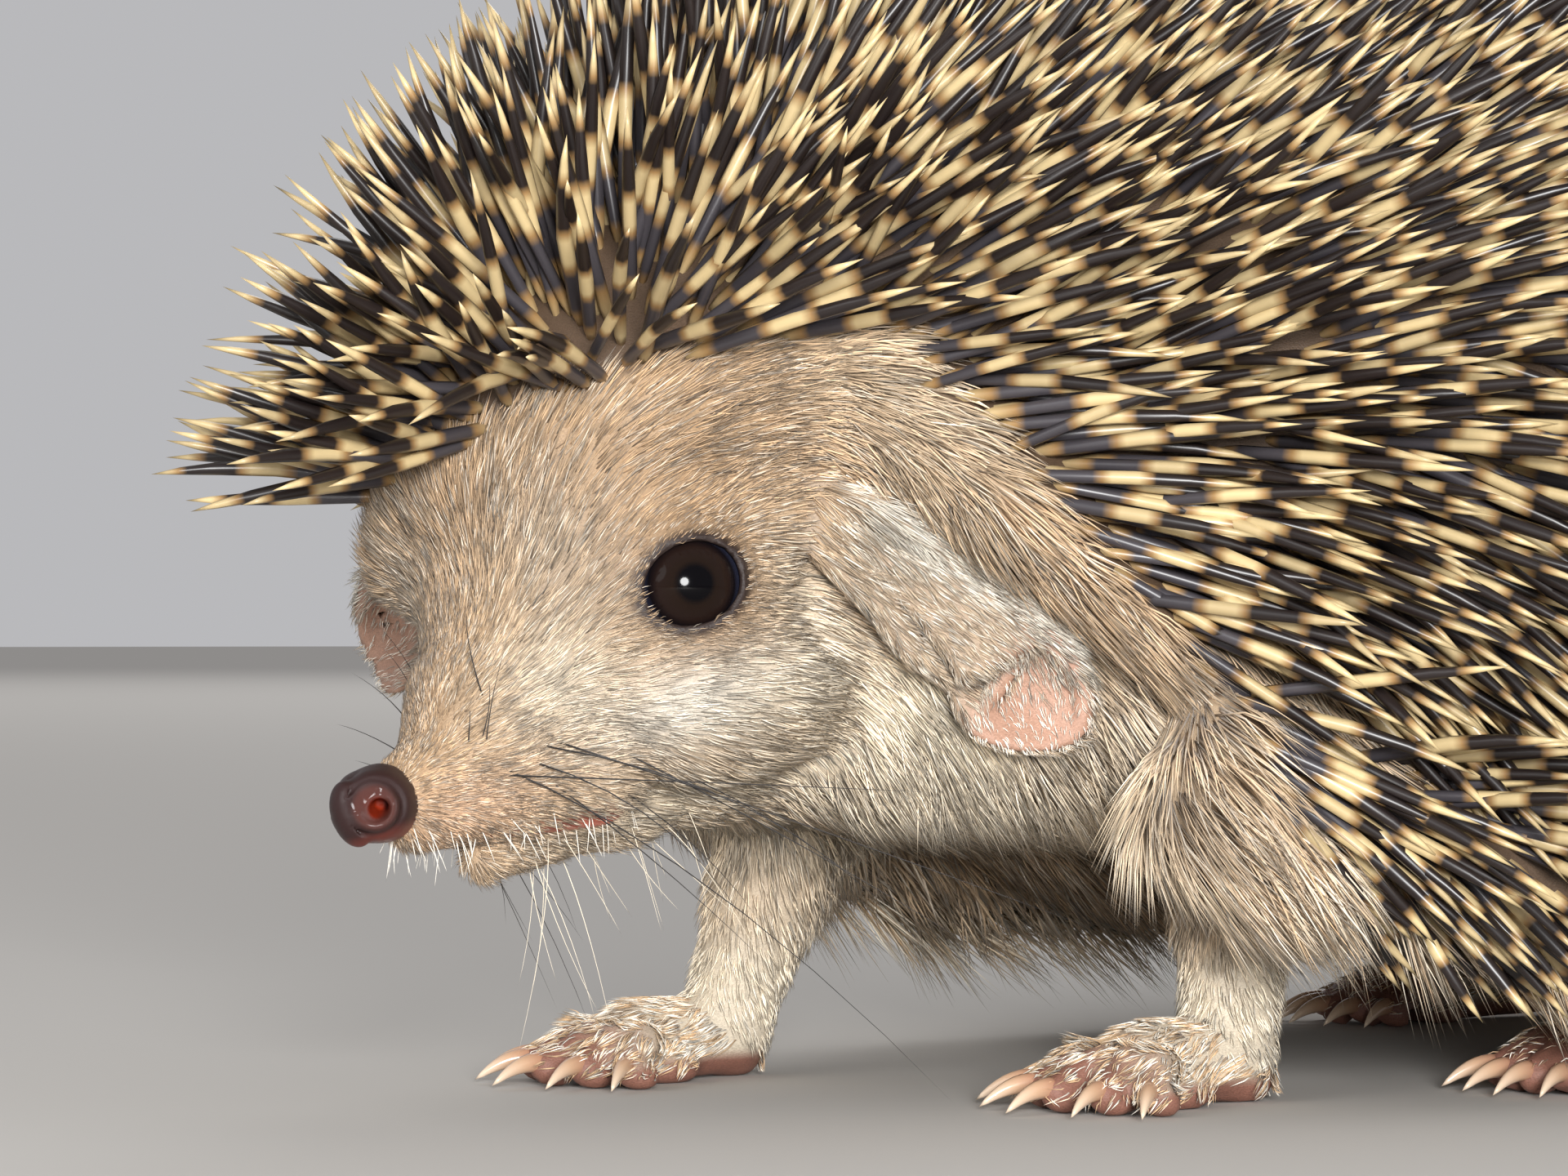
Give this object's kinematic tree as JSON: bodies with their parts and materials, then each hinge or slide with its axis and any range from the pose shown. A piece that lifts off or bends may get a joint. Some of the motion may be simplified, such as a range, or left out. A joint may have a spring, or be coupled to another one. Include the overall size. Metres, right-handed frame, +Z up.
{
  "type": "long-eared hedgehog model",
  "caption": "Life-size still model of a long-eared hedgehog standing with its head lowered and turned, brow spines raised, for display on a flat surface.",
  "frame": {"origin": "on the floor plane under the feet, at the centre of the animal's box seen from above", "axes": "the head points along -Y, +X is the animal's left side, +Z is up"},
  "size_m": [0.1028, 0.1874, 0.0987],
  "materials": {
    "spines": "satin quills banded cream and black-brown, pale at the tip",
    "fur": "short soft hair, tan to whitish, darker on the forehead",
    "pale_fur": "longer soft hair, cream with a tan tinge",
    "bare_skin": "thinly haired skin of the feet, pinkish tan",
    "nose_skin": "moist pebbled skin, mauve-brown",
    "eye": "wet dark brown, high gloss",
    "claw": "pale translucent horn, satin"
  },
  "bodies": {
    "root": {"back_spines": "spines", "belly": "pale_fur", "brow_spines": "spines", "chest": "pale_fur", "ear_left": "fur", "ear_right": "fur", "eye_left": "eye", "eye_right": "eye", "foreclaw_left_1": "claw", "foreclaw_left_2": "claw", "foreclaw_left_3": "claw", "foreclaw_left_4": "claw", "foreclaw_left_5": "claw", "foreclaw_right_1": "claw", "foreclaw_right_2": "claw", "foreclaw_right_3": "claw", "foreclaw_right_4": "claw", "foreclaw_right_5": "claw", "forefoot_left": "bare_skin", "forefoot_right": "bare_skin", "foreleg_left": "pale_fur", "foreleg_right": "pale_fur", "head": "fur", "hindclaw_left_1": "claw", "hindclaw_left_2": "claw", "hindclaw_left_3": "claw", "hindclaw_left_4": "claw", "hindclaw_left_5": "claw", "hindclaw_right_1": "claw", "hindclaw_right_2": "claw", "hindclaw_right_3": "claw", "hindclaw_right_4": "claw", "hindclaw_right_5": "claw", "hindfoot_left": "bare_skin", "hindfoot_right": "bare_skin", "hindleg_left": "pale_fur", "hindleg_right": "pale_fur", "lower_jaw": "pale_fur", "neck": "fur", "nose": "nose_skin", "rump_spines": "spines", "shoulder_spines": "spines", "tail": "pale_fur"}
  },
  "joints": []
}
